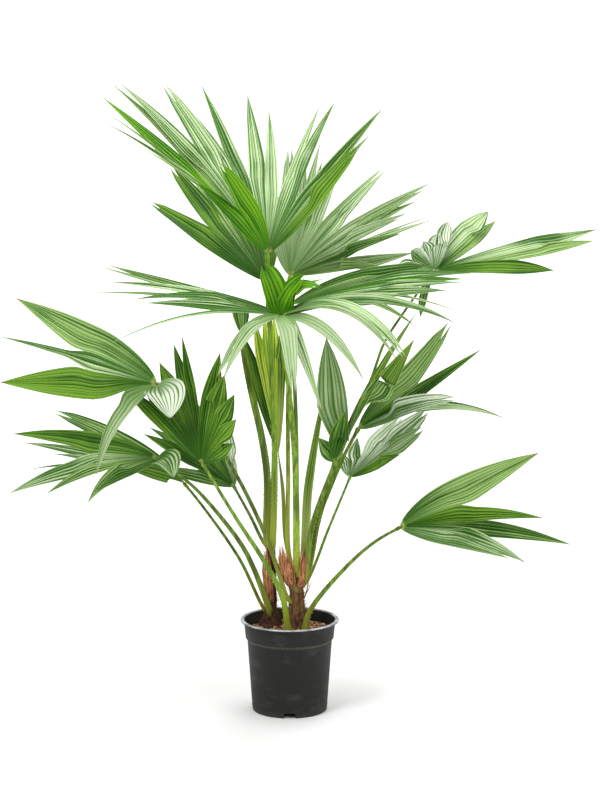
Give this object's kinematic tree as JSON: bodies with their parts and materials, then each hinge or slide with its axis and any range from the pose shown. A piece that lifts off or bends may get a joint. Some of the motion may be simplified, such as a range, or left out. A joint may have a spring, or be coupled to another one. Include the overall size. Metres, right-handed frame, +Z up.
{
  "type": "potted fan palm",
  "caption": "Young fan palm in a round nursery pot: two short fibrous stems, spreading leafstalks, each with a pleated fan blade split into leaflets.",
  "frame": {"origin": "centre of the flat underside of the pot", "axes": "+Z up, -Y to the front, +X to the right as seen from the front"},
  "size_m": [1.2649, 0.8974, 1.3284],
  "materials": {
    "pot_plastic": "matt black injection-moulded plastic, dusty and scuffed, pale worn lip",
    "potting_mix": "loose bark and coir mix",
    "stem_fibre": "rough brown stem with old leaf bases and fibre",
    "sheath_fibre": "torn papery reddish-brown leaf sheath",
    "leafstalk": "smooth satin green leafstalk with small spines",
    "leaf_green": "pleated glossy green leaf",
    "leaf_young": "pleated yellow-green young leaf"
  },
  "bodies": {
    "root": {"pot": "pot_plastic", "soil": "potting_mix", "stem_left": "stem_fibre", "stem_right": "stem_fibre", "stalk_left_front": "leafstalk", "stalk_right_low": "leafstalk", "stalk_left_upper": "leafstalk", "stalk_right_front": "leafstalk", "stalk_front": "leafstalk", "spear": "leafstalk", "stalk_left_middle": "leafstalk", "stalk_right_middle": "leafstalk", "stalk_behind_right": "leafstalk", "stalk_top": "leafstalk", "stalk_far_right": "leafstalk", "stalk_right_back": "leafstalk", "stalk_young_centre": "leafstalk", "stalk_young_left": "leafstalk", "stalk_right_low_fan": "leafstalk", "stalk_left_low_back": "leafstalk", "stalk_left_back": "leafstalk", "stalk_behind_left": "leafstalk", "sheath_left": "sheath_fibre", "sheath_middle": "sheath_fibre", "sheath_right": "sheath_fibre", "sheath_low": "sheath_fibre", "blade_top": "leaf_green", "blade_behind_right": "leaf_green", "blade_behind_left": "leaf_green", "blade_front": "leaf_green", "blade_right_low_fan": "leaf_green", "blade_far_right": "leaf_green", "blade_young_centre": "leaf_young", "blade_young_left": "leaf_young", "blade_left_upper": "leaf_green", "blade_left_front": "leaf_green", "blade_left_middle": "leaf_green", "blade_left_low_back": "leaf_green", "blade_left_back": "leaf_green", "blade_right_low": "leaf_green", "blade_right_front": "leaf_green", "blade_right_middle": "leaf_green", "blade_right_back": "leaf_green"}
  },
  "joints": []
}
